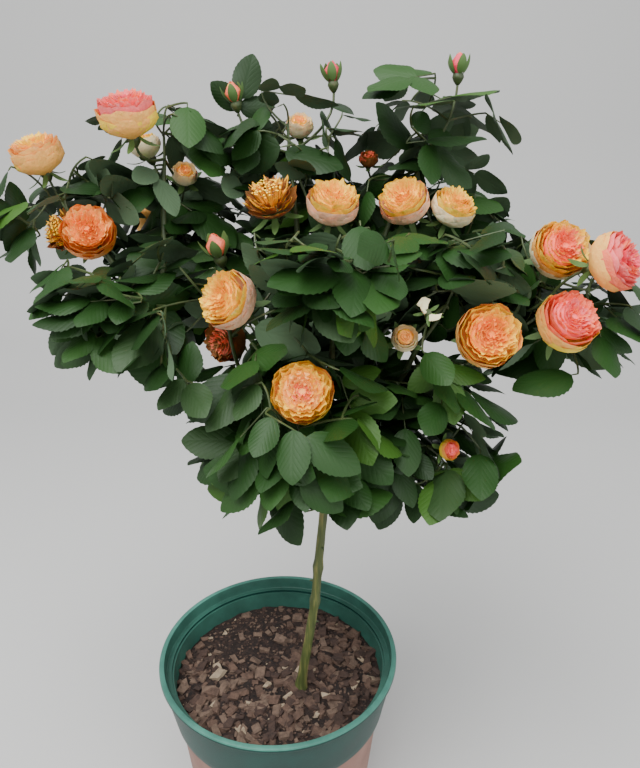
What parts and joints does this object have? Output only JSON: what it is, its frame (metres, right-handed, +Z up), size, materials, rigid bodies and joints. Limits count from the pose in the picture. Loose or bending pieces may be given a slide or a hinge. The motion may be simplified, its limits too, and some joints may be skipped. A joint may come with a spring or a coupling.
{
  "type": "rose bush in a pot",
  "caption": "Rose bush grown as a small standard: one slender stem, a wide crown of leaves and apricot roses, in a tapered green-collared plastic pot.",
  "frame": {"origin": "centre of the pot's flat underside, which stands on the ground", "axes": "+Z up along the pot's axis; -Y is the front that the picture shows; +X is to the picture's right"},
  "size_m": [0.5335, 0.3588, 0.7868],
  "materials": {
    "pot_body_plastic": "matt pinkish beige plastic, lightly scuffed",
    "pot_collar_plastic": "satin dark green plastic with a paler worn lip",
    "bark_mix": "damp crumbled bark and peat with paler chips",
    "green_bark": "olive green rose bark with tan strips and a few thorns",
    "foliage": "dark green satin leaves, with apricot, yellow and coral petals"
  },
  "bodies": {
    "root": {"pot_body": "pot_body_plastic", "pot_collar": "pot_collar_plastic", "potting_mix": "bark_mix", "trunk": "green_bark", "bough_left_outer": "green_bark", "bough_centre_front": "green_bark", "bough_centre_top": "green_bark", "bough_right_front": "green_bark", "bough_back_centre": "green_bark", "bough_low_front": "green_bark", "bough_low_right": "green_bark", "bough_back_low": "green_bark", "bough_left_front": "green_bark", "bough_left_low": "green_bark", "bough_left_top": "green_bark", "bough_right_top": "green_bark", "bough_right_outer": "green_bark", "bough_back_left": "green_bark", "bough_back_right": "green_bark", "foliage_left_outer": "foliage", "foliage_centre_front": "foliage", "foliage_centre_top": "foliage", "foliage_right_front": "foliage", "foliage_back_centre": "foliage", "foliage_low_front": "foliage", "foliage_low_right": "foliage", "foliage_back_low": "foliage", "foliage_left_front": "foliage", "foliage_left_low": "foliage", "foliage_left_top": "foliage", "foliage_right_top": "foliage", "foliage_right_outer": "foliage", "foliage_back_left": "foliage", "foliage_back_right": "foliage"}
  },
  "joints": []
}
